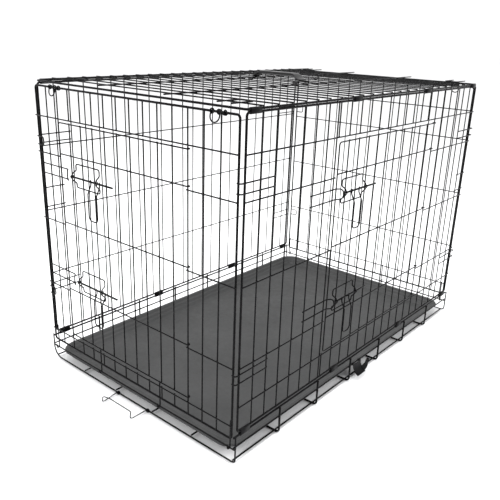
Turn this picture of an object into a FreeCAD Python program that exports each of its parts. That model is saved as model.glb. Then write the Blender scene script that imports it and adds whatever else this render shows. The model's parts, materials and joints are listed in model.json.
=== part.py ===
import FreeCAD, Part
import math
import os

# Folding wire dog crate, 36 inch class. Millimetres, +Z up.
# The origin is on the ground under the middle of the base. +X runs along the length from the
# end with the small door, -Y is the long side with the big door.

V = FreeCAD.Vector

doc = FreeCAD.newDocument("WireDogCrate")
sheet = doc.addObject("Spreadsheet::Sheet", "Sizes")

SIZES = [
    ("length", 914.0, "base length between the two end hinge wires"),
    ("width", 580.0, "width over the side panels"),
    ("rail_radius", 2.1, "frame wire"),
    ("bar_radius", 1.35, "mesh wire"),
    ("hinge_radius", 1.6, "end hinge wires and end floor wires"),
    ("long_radius", 1.7, "floor long wires"),
    ("bolt_radius", 2.0, "slide bolt rod"),
    ("latch_radius", 1.2, "top latch wire"),
    ("stop_radius", 1.1, "pan stop wire"),
    ("gap", 0.3, "clearance between moving wires"),
    ("frame_bend", 6.0, "centre line radius at the frame corners"),
    ("side_inset", 4.8, "side frame plane from the outer face"),
    ("side_low", 66.0, "side frame bottom rail, the floor hinge line"),
    ("side_top", 636.0, "side frame top rail, the roof hinge line"),
    ("post_inset", 8.0, "side frame posts from the ends"),
    ("mesh_inset", 8.0, "roof frame and first mesh bay from the ends"),
    ("side_bays", 24.0, "mesh bays along a side"),
    ("end_inset", 11.0, "end frame posts from the sides"),
    ("end_bays", 15.0, "mesh bays along an end"),
    ("end_low", 53.0, "end frame bottom rail"),
    ("end_sill", 82.0, "end panel wire under the end door"),
    ("end_top", 632.5, "end frame top rail"),
    ("end_pivot", 32.5, "end hinge wire height"),
    ("roof_rise", 4.5, "roof frame above the side top rails"),
    ("front_free", 269.9, "front door latch stile"),
    ("front_jamb", 263.0, "panel wire beside the front latch stile"),
    ("front_low", 127.0, "front door bottom"),
    ("front_high", 563.0, "front door top"),
    ("front_sill", 120.5, "panel wire under the front door"),
    ("left_free", 490.5, "end door latch stile"),
    ("left_low", 93.0, "end door bottom"),
    ("left_high", 566.0, "end door top"),
    ("lintel", 572.5, "panel wire above the doors"),
    ("row_high", 497.0, "upper mesh row"),
    ("row_mid", 352.0, "middle mesh row"),
    ("row_low", 199.0, "lower mesh row"),
    ("far_high", 505.0, "far side upper row"),
    ("far_mid", 362.0, "far side middle row"),
    ("far_low", 213.0, "far side lower row"),
    ("door_lift", 6.0, "door rows above the panel rows"),
    ("bolt_high", 462.0, "upper slide bolt height"),
    ("bolt_low", 231.0, "lower slide bolt height"),
    ("floor_pitch", 130.6, "floor cross wire spacing"),
    ("floor_end_height", 4.1, "end floor wire height"),
    ("basket_top", 58.0, "floor basket top rail"),
    ("basket_mid", 37.0, "floor basket middle rail"),
    ("pan_length", 914.0, "pan over the rim"),
    ("pan_width", 556.0, "pan over the rim"),
    ("pan_base", 8.4, "pan underside"),
    ("pan_top", 27.0, "pan rim top"),
    ("pan_wall", 2.5, "pan thickness"),
    ("pan_rim", 12.0, "pan rim width"),
    ("clip_width", 26.0, "hinge clip width"),
    ("clip_sheet", 0.8, "hinge clip sheet thickness"),
    ("handle_length", 146.0, "handle length"),
    ("handle_width", 26.0, "handle grip width"),
]

for row, (alias, value, note) in enumerate(SIZES, start=1):
    sheet.set("A%d" % row, note)
    sheet.set("B%d" % row, str(value))
    sheet.setAlias("B%d" % row, alias)
doc.recompute()


def num(expression):
    """Value of an expression in sheet cells."""
    return float(sheet.evalExpression(str(expression)))


# Distances outward from a panel's frame plane, as expressions.
BAR = "Sizes.bar_radius"
RAIL = "Sizes.rail_radius"
UPRIGHT = "(Sizes.rail_radius - Sizes.bar_radius)"
ROW = "(Sizes.rail_radius + Sizes.bar_radius)"
DOOR_ROW = "(Sizes.rail_radius + Sizes.bar_radius + Sizes.gap)"
DOOR_UPRIGHT = "(Sizes.rail_radius - Sizes.bar_radius + Sizes.gap)"
KEEPER = "(Sizes.rail_radius - 3 * Sizes.bar_radius)"
BOLT = "(Sizes.rail_radius + 2 * Sizes.gap + Sizes.bolt_radius)"
TONGUE = "(Sizes.rail_radius + 2 * Sizes.gap + 2 * Sizes.bolt_radius + Sizes.bar_radius)"
SIDE_PITCH = "((Sizes.length - 2 * Sizes.mesh_inset) / Sizes.side_bays)"
END_PITCH = "((Sizes.width - 2 * Sizes.end_inset) / Sizes.end_bays)"


def side_bar(index):
    """Distance from the left end of a side panel's numbered upright."""
    return "(Sizes.mesh_inset + %d * %s)" % (index, SIDE_PITCH)


def end_bar(index):
    """Distance from the near side of an end panel's numbered upright."""
    return "(Sizes.end_inset + %d * %s)" % (index, END_PITCH)


# Each panel maps (along, outward, height) to expressions for x, y and z.
def near(along, out, height):
    return ("%s - Sizes.length / 2" % along, "Sizes.side_inset - %s - Sizes.width / 2" % out, str(height))


def far(along, out, height):
    return ("%s - Sizes.length / 2" % along, "Sizes.width / 2 - Sizes.side_inset + %s" % out, str(height))


def left(along, out, height):
    return ("0 - %s - Sizes.length / 2" % out, "%s - Sizes.width / 2" % along, str(height))


def right(along, out, height):
    return ("Sizes.length / 2 + %s" % out, "%s - Sizes.width / 2" % along, str(height))


def plain(x, y, z):
    """Point given from the left end, the near side and the ground."""
    return ("%s - Sizes.length / 2" % x, "%s - Sizes.width / 2" % y, str(z))


def point(triple):
    return V(num(triple[0]), num(triple[1]), num(triple[2]))


TURN = {
    "x": FreeCAD.Rotation(V(0, 1, 0), 90),
    "y": FreeCAD.Rotation(V(1, 0, 0), -90),
    "z": FreeCAD.Rotation(),
}
NODES = []


def bar(name, axis, start, run, radius=BAR):
    """A straight round wire from start along +axis."""
    rod = doc.addObject("Part::Cylinder", name)
    rod.Placement = FreeCAD.Placement(V(0, 0, 0), TURN[axis])
    rod.setExpression("Radius", radius)
    rod.setExpression("Height", run)
    rod.setExpression("Placement.Base.x", start[0])
    rod.setExpression("Placement.Base.y", start[1])
    rod.setExpression("Placement.Base.z", start[2])
    return rod


def group(label, members):
    """One node holding separate solids."""
    node = doc.addObject("Part::Compound", label)
    node.Links = members
    node.Label = label
    NODES.append(node)
    return node


def rounded_path(points, bend, closed=False):
    """Edges through the points with a tangent arc at each corner."""
    count = len(points)
    corners = range(count) if closed else range(1, count - 1)
    cut_in = dict()
    cut_out = dict()
    arcs = dict()
    for i in corners:
        corner = points[i]
        back = (points[i - 1] - corner).normalize()
        ahead = (points[(i + 1) % count] - corner).normalize()
        half = back.getAngle(ahead) / 2
        reach = bend / math.tan(half)
        middle = (back + ahead).normalize()
        mid_point = corner + middle * (bend / math.sin(half) - bend)
        cut_in[i] = corner + back * reach
        cut_out[i] = corner + ahead * reach
        arcs[i] = Part.Arc(cut_in[i], mid_point, cut_out[i]).toShape()
    edges = []
    for i in range(count if closed else count - 1):
        start = cut_out.get(i, points[i])
        j = (i + 1) % count
        stop = cut_in.get(j, points[j])
        if (stop - start).Length > 0.01:
            edges.append(Part.LineSegment(start, stop).toShape())
        if j in arcs:
            edges.append(arcs[j])
    return edges


def curl(start, centre, axis, degrees):
    """Arc edge turning start about an axis through centre."""
    arm = start - centre
    middle = centre + FreeCAD.Rotation(axis, degrees / 2).multVec(arm)
    stop = centre + FreeCAD.Rotation(axis, degrees).multVec(arm)
    return Part.Arc(start, middle, stop).toShape()


def sweep(edges, radius):
    """Round wire along tangent edges."""
    first = edges[0]
    start = first.valueAt(first.FirstParameter)
    tangent = first.tangentAt(first.FirstParameter)
    profile = Part.Wire([Part.makeCircle(radius, start, tangent)])
    return Part.Wire(edges).makePipeShell([profile], True, False)


def bent(name, edges, radius, split=False):
    """A bent wire; split gives each straight run and each bend a solid of its own."""
    size = num(radius)
    feature = doc.addObject("Part::Feature", name)
    if split:
        feature.Shape = Part.makeCompound([sweep([edge], size) for edge in edges])
    else:
        feature.Shape = sweep(edges, size)
    return feature


def frame_loop(name, corners):
    points = [point(corner) for corner in corners]
    return bent(name, rounded_path(points, num("Sizes.frame_bend"), closed=True), RAIL, split=True)


def uprights(prefix, panel, places, low, high, out=UPRIGHT):
    bars = []
    for number, place in enumerate(places):
        run = "%s - (%s)" % (high, low)
        bars.append(bar("%s_%d" % (prefix, number), "z", panel(place, out, low), run))
    return bars


def rows(prefix, panel, axis, heights, start, stop, out=ROW):
    bars = []
    for number, height in enumerate(heights):
        run = "%s - (%s)" % (stop, start)
        bars.append(bar("%s_%d" % (prefix, number), axis, panel(start, out, height), run))
    return bars


# ---------------------------------------------------------------- floor basket
first_cross = "(Sizes.length - 7 * Sizes.floor_pitch) / 2"
cross_at = ["%d * Sizes.floor_pitch + %s" % (i, first_cross) for i in range(1, 7)]
FOOT = 8.0
END_FOOT = {1: 8.0, -1: 26.0}
side_out = "(Sizes.side_inset - 2 * Sizes.rail_radius)"
end_out = "(Sizes.side_inset - Sizes.rail_radius - Sizes.hinge_radius)"
cross_wires = []
for number, place in enumerate(cross_at):
    start = plain(place, "%s + %f" % (side_out, FOOT), RAIL)
    run = "Sizes.width - 2 * %s - %f" % (side_out, 2 * FOOT)
    cross_wires.append(bar("floor_cross_%d" % number, "y", start, run, RAIL))
group("floor_cross_wires", cross_wires)

floor_ends = []
for number, place in enumerate(["0", "Sizes.length"]):
    start = plain(place, "%s + %f" % (end_out, END_FOOT[1]), "Sizes.floor_end_height")
    run = "Sizes.width - 2 * %s - %f" % (end_out, END_FOOT[1] + END_FOOT[-1])
    floor_ends.append(bar("floor_end_%d" % number, "y", start, run, "Sizes.hinge_radius"))
group("floor_end_wires", floor_ends)


def foot(name, place, inset, low, bend, radius, side):
    """Upturned end of a floor cross wire: a bend at the ground, then a straight rise."""
    across = num(inset) - num("Sizes.width") / 2
    x = num(place) - num("Sizes.length") / 2
    bottom = num(low)
    top = num("Sizes.basket_top + Sizes.rail_radius")
    points = [V(x, side * (across + bend), bottom), V(x, side * across, bottom), V(x, side * across, top)]
    return bent(name, rounded_path(points, bend), radius, split=True)


feet = []
for side in (1, -1):
    for number, place in enumerate(cross_at):
        feet.append(foot("foot_%d_%d" % (number, side + 1), place, side_out, RAIL, FOOT, RAIL, side))
    for number, place in enumerate(["0", "Sizes.length"]):
        name = "end_foot_%d_%d" % (number, side + 1)
        feet.append(foot(name, place, end_out, "Sizes.floor_end_height", END_FOOT[side], "Sizes.hinge_radius", side))
group("floor_side_feet", feet)

long_wires = []
long_height = "2 * Sizes.rail_radius + Sizes.long_radius"
for number, across in enumerate([8.6, 117.0, 231.0, 349.0, 463.0, 571.4]):
    start = plain("Sizes.hinge_radius + Sizes.gap", across, long_height)
    run = "Sizes.length - 2 * Sizes.hinge_radius - 2 * Sizes.gap"
    long_wires.append(bar("floor_long_%d" % number, "x", start, run, "Sizes.long_radius"))
group("floor_long_wires", long_wires)

top_rails = []
mid_rails = []
mid_inset = "(Sizes.side_inset - Sizes.rail_radius + Sizes.long_radius)"
rail_run = "Sizes.length + 2 * Sizes.hinge_radius"
for number, side in enumerate(["", "Sizes.width - "]):
    start = plain("0 - Sizes.hinge_radius", side + "Sizes.side_inset", "Sizes.basket_top")
    top_rails.append(bar("basket_top_%d" % number, "x", start, rail_run, RAIL))
    start = plain("0 - Sizes.hinge_radius", side + mid_inset, "Sizes.basket_mid")
    mid_rails.append(bar("basket_mid_%d" % number, "x", start, rail_run, "Sizes.long_radius"))
group("floor_top_rails", top_rails)
group("floor_mid_rails", mid_rails)

hinge_wires = []
for number, place in enumerate(["0", "Sizes.length"]):
    inset = "(%s + Sizes.hinge_radius)" % end_out
    start = plain(place, inset, "Sizes.end_pivot")
    run = "Sizes.width - 2 * %s" % inset
    hinge_wires.append(bar("end_hinge_%d" % number, "y", start, run, "Sizes.hinge_radius"))
group("floor_hinge_wires", hinge_wires)


# ---------------------------------------------------------------- hinge clips
def slot_outline(sketch, radius, rise):
    """Two half circles, radius about the origin and about a point rise above it, with flanks."""
    centre = V(0, 0, 0)
    upper = V(0, rise, 0)
    up = V(0, 0, 1)
    first = sketch.addGeometry(Part.ArcOfCircle(Part.Circle(centre, up, radius), math.pi, 2 * math.pi))
    sketch.addGeometry(Part.LineSegment(V(radius, 0, 0), V(radius, rise, 0)))
    sketch.addGeometry(Part.ArcOfCircle(Part.Circle(upper, up, radius), 0, math.pi))
    sketch.addGeometry(Part.LineSegment(V(-radius, rise, 0), V(-radius, 0, 0)))
    return first


def clip(name, along, across, low, rise):
    """Folded sheet clip round two wires that lie one above the other."""
    body = doc.addObject("PartDesign::Body", name)
    plane = [f for f in body.Origin.OriginFeatures if f.Role == "YZ_Plane"][0]
    sketch = body.newObject("Sketcher::SketchObject", name + "_section")
    sketch.AttachmentSupport = (plane, "")
    sketch.MapMode = "FlatFace"
    inner = num("Sizes.rail_radius + Sizes.gap")
    slot_outline(sketch, inner, rise)
    slot_outline(sketch, inner + num("Sizes.clip_sheet"), rise)
    pad = body.newObject("PartDesign::Pad", name + "_pad")
    pad.Profile = sketch
    pad.setExpression("Length", "Sizes.clip_width")
    body.Tip = pad
    x, y, z = plain(along + " - Sizes.clip_width / 2", across, low)
    body.setExpression("Placement.Base.x", x)
    body.setExpression("Placement.Base.y", y)
    body.setExpression("Placement.Base.z", z)
    return body


clip_at = ["28", "(Sizes.mesh_inset + 8.5 * %s)" % SIDE_PITCH, "(Sizes.mesh_inset + 16.5 * %s)" % SIDE_PITCH,
           "Sizes.length - 28"]
low_rise = num("Sizes.side_low - Sizes.basket_top")
top_rise = num("Sizes.roof_rise")
floor_clips = []
roof_clips = []
for number, along in enumerate(clip_at):
    for tag, across in (("n", "Sizes.side_inset"), ("f", "(Sizes.width - Sizes.side_inset)")):
        name = "%s%d" % (tag, number)
        floor_clips.append(clip("floor_clip_" + name, along, across, "Sizes.basket_top", low_rise))
        roof_clips.append(clip("roof_clip_" + name, along, across, "Sizes.side_top", top_rise))
group("floor_clips", floor_clips)
group("roof_clips", roof_clips)


# ---------------------------------------------------------------- pan
def rounded_rectangle(sketch, length, width, radius):
    """Centred rounded rectangle whose sizes are bound to the sheet."""
    a = num(length) / 2
    b = num(width) / 2
    r = num(radius)
    up = V(0, 0, 1)
    sketch.addGeometry(Part.LineSegment(V(r - a, -b, 0), V(a - r, -b, 0)))
    sketch.addGeometry(Part.ArcOfCircle(Part.Circle(V(a - r, r - b, 0), up, r), -math.pi / 2, 0))
    sketch.addGeometry(Part.LineSegment(V(a, r - b, 0), V(a, b - r, 0)))
    sketch.addGeometry(Part.ArcOfCircle(Part.Circle(V(a - r, b - r, 0), up, r), 0, math.pi / 2))
    sketch.addGeometry(Part.LineSegment(V(a - r, b, 0), V(r - a, b, 0)))
    sketch.addGeometry(Part.ArcOfCircle(Part.Circle(V(r - a, b - r, 0), up, r), math.pi / 2, math.pi))
    sketch.addGeometry(Part.LineSegment(V(-a, b - r, 0), V(-a, r - b, 0)))
    sketch.addGeometry(Part.ArcOfCircle(Part.Circle(V(r - a, r - b, 0), up, r), math.pi, 1.5 * math.pi))


def level_sketch(body, name, height):
    plane = [f for f in body.Origin.OriginFeatures if f.Role == "XY_Plane"][0]
    sketch = body.newObject("Sketcher::SketchObject", name)
    sketch.AttachmentSupport = (plane, "")
    sketch.MapMode = "FlatFace"
    sketch.setExpression("AttachmentOffset.Base.z", height)
    return sketch


pan = doc.addObject("PartDesign::Body", "pan")
pan.Label = "pan"
tub_length = "Sizes.pan_length - 2 * Sizes.pan_rim"
tub_width = "Sizes.pan_width - 2 * Sizes.pan_rim"
tub = level_sketch(pan, "pan_tub", "Sizes.pan_base")
rounded_rectangle(tub, tub_length, tub_width, "30")
tub_pad = pan.newObject("PartDesign::Pad", "pan_tub_pad")
tub_pad.Profile = tub
tub_pad.setExpression("Length", "Sizes.pan_top - Sizes.pan_base")
doc.recompute()
rim = level_sketch(pan, "pan_rim_outline", "Sizes.pan_top - Sizes.pan_wall")
rounded_rectangle(rim, "Sizes.pan_length", "Sizes.pan_width", "42")
rim_pad = pan.newObject("PartDesign::Pad", "pan_rim_pad")
rim_pad.Profile = rim
rim_pad.setExpression("Length", "Sizes.pan_wall")
doc.recompute()
solid_volume = rim_pad.Shape.Volume
hollow = level_sketch(pan, "pan_hollow", "Sizes.pan_top")
rounded_rectangle(hollow, tub_length + " - 2 * Sizes.pan_wall", tub_width + " - 2 * Sizes.pan_wall", "27.5")
hollow_cut = pan.newObject("PartDesign::Pocket", "pan_hollow_cut")
hollow_cut.Profile = hollow
hollow_cut.setExpression("Length", "Sizes.pan_top - Sizes.pan_base - Sizes.pan_wall")
doc.recompute()
pan.Tip = hollow_cut
if hollow_cut.Shape.Volume > 0.5 * solid_volume:
    raise RuntimeError("the pan's hollow removed too little")
NODES.append(pan)


# ---------------------------------------------------------------- pan stop and catch
stop_ring = num("Sizes.hinge_radius + Sizes.gap / 2 + Sizes.stop_radius")
floor_end = num("Sizes.floor_end_height")


def ring(centre, axis, radius, wire):
    return Part.makeTorus(radius, wire, centre, axis)


def local(x, y, z):
    """Point from the left end, the near side and the ground, as numbers."""
    return V(x - num("Sizes.length") / 2, y - num("Sizes.width") / 2, z)


stop_wire = num("Sizes.stop_radius")
stop_cross = floor_end + 2.5
stop_path = rounded_path([local(-stop_ring, 342, floor_end), local(-47, 334, floor_end),
                          local(-33, 351, floor_end + 1.4), local(-29, 331, stop_cross),
                          local(-29, 262, stop_cross), local(-46, 244, floor_end + 1.4),
                          local(-stop_ring, 246, floor_end)], 3.0)
stop_shape = sweep(stop_path, stop_wire - 0.05)
for across in (342, 246):
    for turn in (-1, 0, 1):
        centre = local(0, across + turn * 1.9 * stop_wire, floor_end)
        stop_shape = stop_shape.fuse(ring(centre, V(0, 1, 0), stop_ring, stop_wire))
pan_stop = doc.addObject("Part::Feature", "pan_stop")
pan_stop.Shape = stop_shape
pan_stop.Label = "pan_stop"
NODES.append(pan_stop)

catch_axis = num(mid_inset)
catch_low = num("Sizes.basket_mid")
barrel_bore = num("Sizes.long_radius + Sizes.gap")
barrel_size = barrel_bore + 0.9
catch_shape = None
for along in (408.0, 435.0):
    tube = Part.makeCylinder(barrel_size, 6.0, local(along, catch_axis, catch_low), V(1, 0, 0))
    catch_shape = tube if catch_shape is None else catch_shape.fuse(tube)


def scoop(degrees, radius):
    """Point on the catch plate's section, which curves outward as it goes down."""
    angle = math.radians(degrees)
    out = barrel_size + 26.5 - radius * math.cos(angle)
    return local(408.0, catch_axis - out, catch_low - 0.5 - radius * math.sin(angle))


outer_arc = Part.Arc(scoop(0, 27.0), scoop(32, 27.0), scoop(65, 27.0)).toShape()
inner_arc = Part.Arc(scoop(65, 26.0), scoop(32, 26.0), scoop(0, 26.0)).toShape()
rims = [Part.makeLine(scoop(65, 27.0), scoop(65, 26.0)), Part.makeLine(scoop(0, 26.0), scoop(0, 27.0))]
section = Part.Face(Part.Wire([outer_arc, rims[0], inner_arc, rims[1]]))
plate = section.extrude(V(33.0, 0, 0))
root = scoop(34, 26.8)
down = (scoop(62, 26.8) - root).normalize()
normal = down.cross(V(1, 0, 0)).normalize()
outline = [(30.0, 0.0), (30.0, 13.0), (47.0, 9.0), (72.0, -4.0), (66.0, -8.0), (48.0, -2.0)]
corners = [root + V(x, 0, 0) + down * v for x, v in outline]
tab = Part.Face(Part.makePolygon(corners + corners[:1])).extrude(normal * 1.0)
plate = plate.fuse(tab)
catch_shape = catch_shape.fuse(plate)
for along in (407.0, 434.0):
    bore = Part.makeCylinder(barrel_bore, 9.0, local(along, catch_axis, catch_low), V(1, 0, 0))
    catch_shape = catch_shape.cut(bore)
catch = doc.addObject("Part::Feature", "catch")
catch.Shape = catch_shape
catch.Label = "catch"
NODES.append(catch)


# ---------------------------------------------------------------- side panels and roof
side_left = "Sizes.post_inset"
side_right = "(Sizes.length - Sizes.post_inset)"
low_stop = "Sizes.side_low + Sizes.rail_radius"
top_stop = "Sizes.side_top - Sizes.rail_radius"
row_start = "(Sizes.post_inset - Sizes.rail_radius)"
row_stop = "(Sizes.length - Sizes.post_inset + Sizes.rail_radius)"


def side_frame(label, panel):
    corners = [panel(side_left, "0", "Sizes.side_low"), panel(side_right, "0", "Sizes.side_low"),
               panel(side_right, "0", "Sizes.side_top"), panel(side_left, "0", "Sizes.side_top")]
    group(label, [frame_loop(label + "_loop", corners)])


side_frame("far_side_frame", far)
side_frame("near_side_frame", near)

places = [side_bar(i) for i in range(1, 24)]
group("far_side_uprights", uprights("far_up", far, places, low_stop, top_stop))
far_rows = ["Sizes.far_high", "Sizes.far_mid", "Sizes.far_low"]
group("far_side_rows", rows("far_row", far, "x", far_rows, row_start, row_stop))

hook_heights = ["529", "512", "188", "171"]
corner_run = "82"
hooks = rows("far_hook_a", far, "x", hook_heights, row_start, corner_run)
hooks += rows("far_hook_b", far, "x", hook_heights, "Sizes.length - " + corner_run, row_stop)
hooks += rows("far_pair", far, "x", ["413", "370"], row_start, "58")
group("far_side_hook_wires", hooks)

full = [side_bar(i) for i in (1, 2, 3, 4, 5, 6, 18, 19, 20, 21, 22, 23)] + ["Sizes.front_jamb"]
group("near_side_uprights", uprights("near_up", near, full, low_stop, top_stop))
over = [side_bar(i) for i in range(7, 18)]
stubs = uprights("near_over", near, over, "Sizes.lintel - Sizes.bar_radius", top_stop)
stubs += uprights("near_under", near, over, low_stop, "Sizes.front_sill + Sizes.bar_radius")
group("near_side_stubs", stubs)

panel_rows = ["Sizes.row_high", "Sizes.row_mid", "Sizes.row_low"]
front_hinge = side_bar(18)
near_rows = rows("near_full", near, "x", ["Sizes.lintel", "Sizes.front_sill"], row_start, row_stop)
near_rows += rows("near_left", near, "x", panel_rows, row_start, "Sizes.front_jamb + Sizes.bar_radius")
near_rows += rows("near_right", near, "x", panel_rows, "%s - Sizes.bar_radius" % front_hinge, row_stop)
near_rows += rows("near_pair", near, "x", ["413", "370"], "Sizes.length - 58", row_stop)
group("near_side_rows", near_rows)

corner_hooks = []
length = num("Sizes.length")
hook_y = num("Sizes.side_inset - (%s)" % ROW)
for number, (tip, root) in enumerate([(-5.0, 82.0), (length + 5.0, length - 82.0)]):
    for height in (529.0, 512.0, 188.0, 171.0):
        path = [local(root, hook_y, height), local(tip, hook_y, height), local(tip, 10.0, height)]
        name = "near_hook_%d_%d" % (number, height)
        corner_hooks.append(bent(name, rounded_path(path, 4.0), BAR, split=True))
group("near_side_corner_hooks", corner_hooks)

roof_height = "(Sizes.side_top + Sizes.roof_rise)"
roof_near = "Sizes.side_inset"
roof_far = "(Sizes.width - Sizes.side_inset)"
roof_left = "Sizes.mesh_inset"
roof_right = "(Sizes.length - Sizes.mesh_inset)"
corners = [plain(roof_left, roof_near, roof_height), plain(roof_right, roof_near, roof_height),
           plain(roof_right, roof_far, roof_height), plain(roof_left, roof_far, roof_height)]
group("roof_frame", [frame_loop("roof_loop", corners)])
roof_bars = []
for number, place in enumerate(places):
    start = plain(place, "Sizes.side_inset - Sizes.rail_radius", roof_height + " + " + ROW)
    run = "Sizes.width - 2 * Sizes.side_inset + 2 * Sizes.rail_radius"
    roof_bars.append(bar("roof_bar_%d" % number, "y", start, run))
group("roof_cross_wires", roof_bars)
roof_top = "(%s + %s + 2 * Sizes.bar_radius)" % (roof_height, ROW)
roof_long = []
for number, across in enumerate([187.0, 367.0, 530.0]):
    run = "%s - %s + 2 * Sizes.rail_radius" % (roof_right, roof_left)
    start = plain("%s - Sizes.rail_radius" % roof_left, across, roof_top)
    roof_long.append(bar("roof_long_%d" % number, "x", start, run))
group("roof_long_wires", roof_long)

keeper_loops = []
top_z = num(roof_top)
for number, (edge, back) in enumerate([(7.0, 60.0), (length - 7.0, length - 60.0)]):
    for low, high in ((35.0, 66.0), (482.0, 514.0)):
        path = [local(edge, low, top_z), local(back, low, top_z), local(back, high, top_z), local(edge, high, top_z)]
        keeper_loops.append(bent("roof_keeper_%d_%d" % (number, low), rounded_path(path, 5.0), BAR, split=True))
group("roof_latch_loops", keeper_loops)


# ---------------------------------------------------------------- handle
handle_x = num("%s + %s / 2" % (side_bar(12), SIDE_PITCH)) - length / 2
handle_y = 311.0 - num("Sizes.width") / 2
handle = doc.addObject("PartDesign::Body", "handle_grip")
handle.Label = "handle_grip"
plane = [f for f in handle.Origin.OriginFeatures if f.Role == "YZ_Plane"][0]
arch = handle.newObject("Sketcher::SketchObject", "handle_arch")
arch.AttachmentSupport = (plane, "")
arch.MapMode = "FlatFace"
half = num("Sizes.handle_length") / 2
wire_top = num("%s + %s + Sizes.bar_radius" % (roof_height, ROW))
seat = wire_top + 3.1
hollow_top = wire_top + 10.7
tip_top = wire_top + 6.2
grip_top = wire_top + 18.2
profile = [(-half, seat), (-half + 8, seat), (-half + 20, hollow_top), (half - 20, hollow_top), (half - 8, seat),
           (half, seat), (half, tip_top), (half - 20, grip_top), (-half + 20, grip_top), (-half, tip_top)]
for i, (u, v) in enumerate(profile):
    nu, nv = profile[(i + 1) % len(profile)]
    arch.addGeometry(Part.LineSegment(V(u, v, 0), V(nu, nv, 0)))
grip = handle.newObject("PartDesign::Pad", "handle_pad")
grip.Profile = arch
grip.SideType = "Symmetric"
grip.setExpression("Length", "Sizes.handle_width")
handle.Tip = grip
handle.Placement.Base = V(handle_x, handle_y, 0)
NODES.append(handle)

handle_feet = []
for number, side in enumerate((-1, 1)):
    pad = Part.makeBox(48, 14, 2.7, V(handle_x - 24, handle_y + side * (half - 7) - 7, wire_top + 0.2))
    for edge in (-24, 21.2):
        lip = Part.makeBox(2.8, 14, 3.6, V(handle_x + edge, handle_y + side * (half - 7) - 7, wire_top - 3.4))
        pad = pad.fuse(lip)
    shape = doc.addObject("Part::Feature", "handle_foot_%d" % number)
    shape.Shape = pad.removeSplitter()
    handle_feet.append(shape)
group("handle_feet", handle_feet)


# ---------------------------------------------------------------- doors and slide bolts
def door(prefix, panel, along_axis, hinge, free, low, high, inner, door_rows):
    """Border wire, uprights and rows; every row ends in a curl round the hinge upright."""
    hinge_at = num(hinge)
    free_at = num(free)
    side = 1.0 if hinge_at > free_at else -1.0
    out = num(DOOR_ROW)
    centre_out = num(UPRIGHT)
    spin = V(0, 0, 1)

    def place(along, outward, height):
        return point(panel(repr(along), "(%r)" % outward, repr(height)))

    def hinge_curl(height):
        start = place(hinge_at, out, height)
        centre = place(hinge_at, centre_out, height)
        arm = start - centre
        away = place(hinge_at + side, out, height) - start
        sense = 1.0 if arm.cross(away).z > 0 else -1.0
        return curl(start, centre, spin * sense, 250.0)

    points = [place(hinge_at, out, num(high)), place(free_at, out, num(high)),
              place(free_at, out, num(low)), place(hinge_at, out, num(low))]
    edges = rounded_path(points, num("Sizes.frame_bend"))
    edges += [hinge_curl(num(high)), hinge_curl(num(low))]
    group(prefix + "_border", [bent(prefix + "_border_wire", edges, BAR, split=True)])
    bottom = "%s - Sizes.bar_radius" % low
    top = "%s + Sizes.bar_radius" % high
    group(prefix + "_uprights", uprights(prefix + "_up", panel, inner, bottom, top, DOOR_UPRIGHT))
    wires = []
    for number, height in enumerate(door_rows):
        level = num(height)
        begin = place(free_at + side * num(BAR), out, level)
        finish = place(hinge_at, out, level)
        path = [Part.LineSegment(begin, finish).toShape(), hinge_curl(level)]
        wires.append(bent("%s_row_%d" % (prefix, number), path, BAR))
    group(prefix + "_rows", wires)


door_rows = ["%s + Sizes.door_lift" % height for height in panel_rows]
left_hinge = end_bar(3)
door("front_door", near, "x", front_hinge, "Sizes.front_free", "Sizes.front_low", "Sizes.front_high",
     [side_bar(i) for i in range(8, 18)], door_rows)
door("left_door", left, "y", left_hinge, "Sizes.left_free", "Sizes.left_low", "Sizes.left_high",
     [end_bar(i) for i in range(4, 13)], door_rows)


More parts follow.
